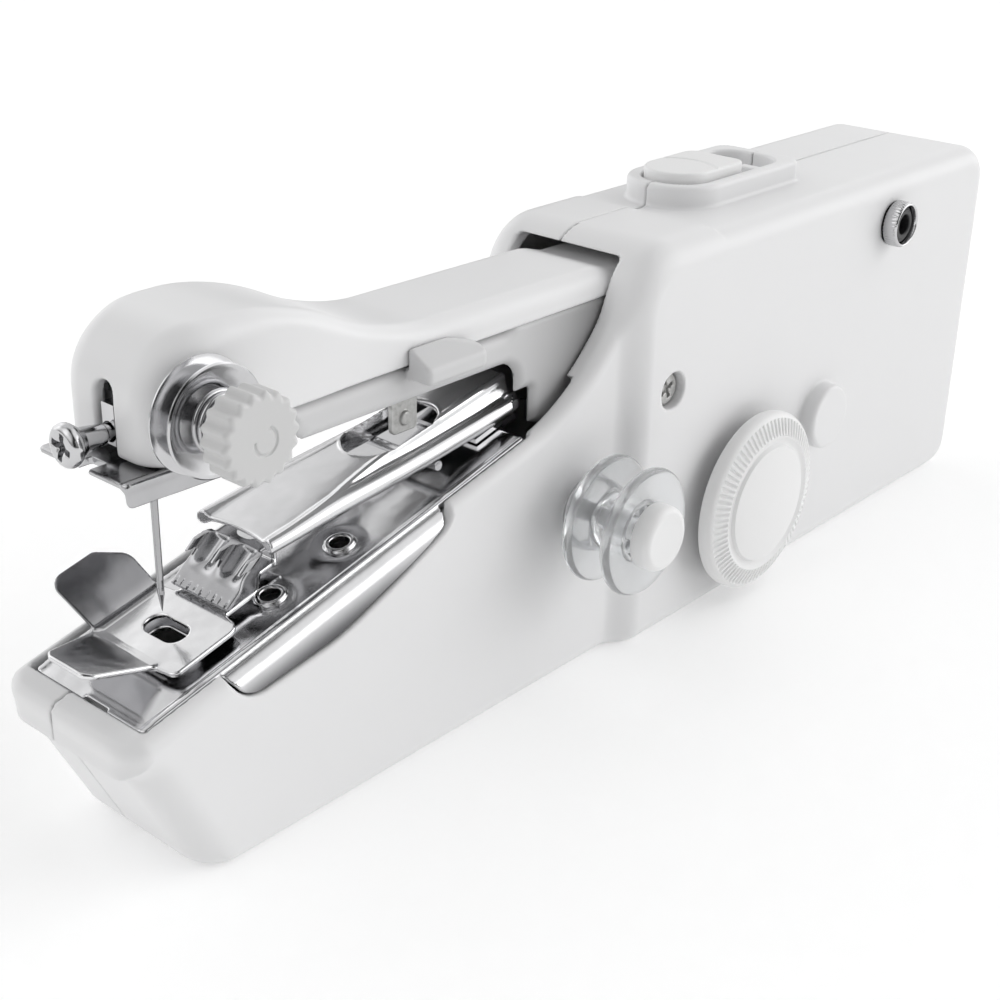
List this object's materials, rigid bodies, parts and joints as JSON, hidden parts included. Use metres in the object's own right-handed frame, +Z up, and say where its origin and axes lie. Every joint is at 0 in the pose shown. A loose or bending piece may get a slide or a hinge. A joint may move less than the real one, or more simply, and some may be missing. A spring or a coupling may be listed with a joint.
{
  "type": "handheld sewing machine",
  "caption": "Battery handheld sewing machine: long casing with chrome needle plate and presser lever, swinging needle arm, thread tension knob, bobbin pin, handwheel and slide switch.",
  "frame": {"origin": "centre of the flat bottom of the casing in length, on the middle plane of the casing, at the resting surface", "axes": "+X from the needle end to the battery end, -Y on the side with the handwheel and the bobbin, +Z up"},
  "size_m": [0.21, 0.049, 0.074],
  "materials": {
    "shell_plastic": "glossy white ABS moulding",
    "arm_plastic": "glossy white ABS moulding",
    "knob_plastic": "glossy white moulding",
    "door_plastic": "glossy white ABS moulding",
    "plate_chrome": "bright polished chrome",
    "foot_chrome": "bright polished chrome",
    "lever_chrome": "bright chrome, lightly brushed",
    "tension_chrome": "bright turned chrome",
    "spring_steel": "drawn spring wire",
    "needle_steel": "polished nickel-plated steel",
    "zinc_steel": "zinc-plated, satin",
    "shaft_steel": "ground steel",
    "brass_parts": "machined brass",
    "motor_steel": "plated drawn steel can",
    "gear_nylon": "natural nylon, satin",
    "black_plastic": "black moulded plastic",
    "jack_chrome": "knurled chrome",
    "cell_wrap": "plain shrink wrap with steel ends",
    "bobbin_clear": "clear moulded plastic"
  },
  "bodies": {
    "casing": {"right_casing": "shell_plastic", "left_casing": "shell_plastic", "casing_screw_front": "zinc_steel", "casing_screw_bed": "zinc_steel", "casing_screw_middle": "zinc_steel", "casing_screw_rear": "zinc_steel", "needle_plate": "plate_chrome", "lever_bracket": "lever_chrome", "lever_pin": "shaft_steel", "idler_pin": "shaft_steel", "motor": "motor_steel", "main_bush_near": "brass_parts", "main_bush_far": "brass_parts", "arm_pivot_pin": "shaft_steel", "looper_bearing_front": "black_plastic", "looper_bearing_rear": "black_plastic", "bobbin_spring": "spring_steel", "switch_body": "black_plastic", "dc_jack": "black_plastic", "jack_nut": "jack_chrome", "battery_cell_1": "cell_wrap", "battery_cell_2": "cell_wrap", "battery_cell_3": "cell_wrap", "battery_cell_4": "cell_wrap", "contact_bottom_near": "brass_parts", "contact_bottom_far": "brass_parts", "contact_top": "brass_parts"},
    "arm": {"arm_frame": "arm_plastic", "arm_cover": "arm_plastic", "needle_clamp": "tension_chrome", "needle": "needle_steel", "needle_bracket": "lever_chrome", "tension_post": "tension_chrome", "tension_disc_inner": "tension_chrome", "tension_disc_outer": "tension_chrome", "tension_spring": "spring_steel", "drive_pin": "shaft_steel", "feed_strip": "zinc_steel"},
    "clamp_screw": {"needle_screw": "tension_chrome"},
    "tension_knob": {"tension_knob": "knob_plastic"},
    "connecting_rod": {"connecting_rod": "gear_nylon"},
    "handwheel": {"handwheel": "knob_plastic", "main_shaft": "shaft_steel", "crank_gear": "gear_nylon"},
    "idler": {"idler_gear": "gear_nylon"},
    "motor_rotor": {"motor_pinion": "brass_parts"},
    "presser": {"presser_lever": "lever_chrome", "link_pin": "lever_chrome", "presser_foot": "foot_chrome"},
    "feed_claw": {"feed_claw": "foot_chrome"},
    "looper": {"looper_shaft": "shaft_steel", "looper_hook": "shaft_steel"},
    "bobbin": {"bobbin": "bobbin_clear"},
    "bobbin_pin": {"bobbin_pin": "shaft_steel", "bobbin_cap": "knob_plastic"},
    "switch_slider": {"switch_slider": "knob_plastic"},
    "battery_door": {"battery_door": "door_plastic"}
  },
  "joints": [
    {"name": "arm_swing", "type": "hinge", "parent": "casing", "child": "arm", "pos_m": [0.015, 0, 0.038], "axis": [0, 1, 0], "range_deg": [-8, 1.5]},
    {"name": "handwheel_spin", "type": "hinge", "parent": "casing", "child": "handwheel", "pos_m": [0.0228, 0, 0.0186], "axis": [0, -1, 0], "continuous": true},
    {"name": "idler_spin", "type": "hinge", "parent": "casing", "child": "idler", "pos_m": [0.0375, 0, 0.02673], "axis": [0, -1, 0], "continuous": true},
    {"name": "motor_spin", "type": "hinge", "parent": "casing", "child": "motor_rotor", "pos_m": [0.0475, 0, 0.0265], "axis": [0, -1, 0], "continuous": true},
    {"name": "connecting_rod_pivot", "type": "hinge", "parent": "arm", "child": "connecting_rod", "pos_m": [0.033, 0, 0.04], "axis": [0, 1, 0], "range_deg": [-2, 9]},
    {"name": "looper_swing", "type": "hinge", "parent": "casing", "child": "looper", "pos_m": [0, 0.006, 0.014], "axis": [1, 0, 0], "range_deg": [-8, 36]},
    {"name": "presser_lift", "type": "hinge", "parent": "casing", "child": "presser", "pos_m": [-0.0265, 0, 0.0466], "axis": [0, 1, 0], "range_deg": [0, 6]},
    {"name": "feed_slide", "type": "slide", "parent": "presser", "child": "feed_claw", "axis": [0.979, 0, 0.2036], "range_m": [-0.0005, 0.0022]},
    {"name": "tension_turn", "type": "hinge", "parent": "arm", "child": "tension_knob", "pos_m": [-0.0884, 0, 0.0638], "axis": [0, -1, 0], "range_deg": [-540, 540]},
    {"name": "clamp_screw_turn", "type": "hinge", "parent": "arm", "child": "clamp_screw", "pos_m": [0, 0, 0.0603], "axis": [-1, 0, 0], "range_deg": [0, 1080]},
    {"name": "bobbin_spin", "type": "hinge", "parent": "casing", "child": "bobbin", "pos_m": [-0.0195, 0, 0.0295], "axis": [0, -1, 0], "continuous": true},
    {"name": "bobbin_pin_pull", "type": "slide", "parent": "casing", "child": "bobbin_pin", "axis": [0, -1, 0], "range_m": [0, 0.022]},
    {"name": "switch_slide", "type": "slide", "parent": "casing", "child": "switch_slider", "axis": [1, 0, 0], "range_m": [0, 0.006]},
    {"name": "battery_door_slide", "type": "slide", "parent": "casing", "child": "battery_door", "axis": [1, 0, 0], "range_m": [0, 0.03]}
  ],
  "couplings": [
    {"joint": "idler_spin", "follows": "handwheel_spin", "ratio": -3.6667},
    {"joint": "motor_spin", "follows": "handwheel_spin", "ratio": 11},
    {"joint": "connecting_rod_pivot", "follows": "arm_swing", "ratio": -1},
    {"joint": "looper_swing", "follows": "arm_swing", "ratio": -4},
    {"joint": "feed_slide", "follows": "arm_swing", "m_per_rad": -0.0143}
  ]
}
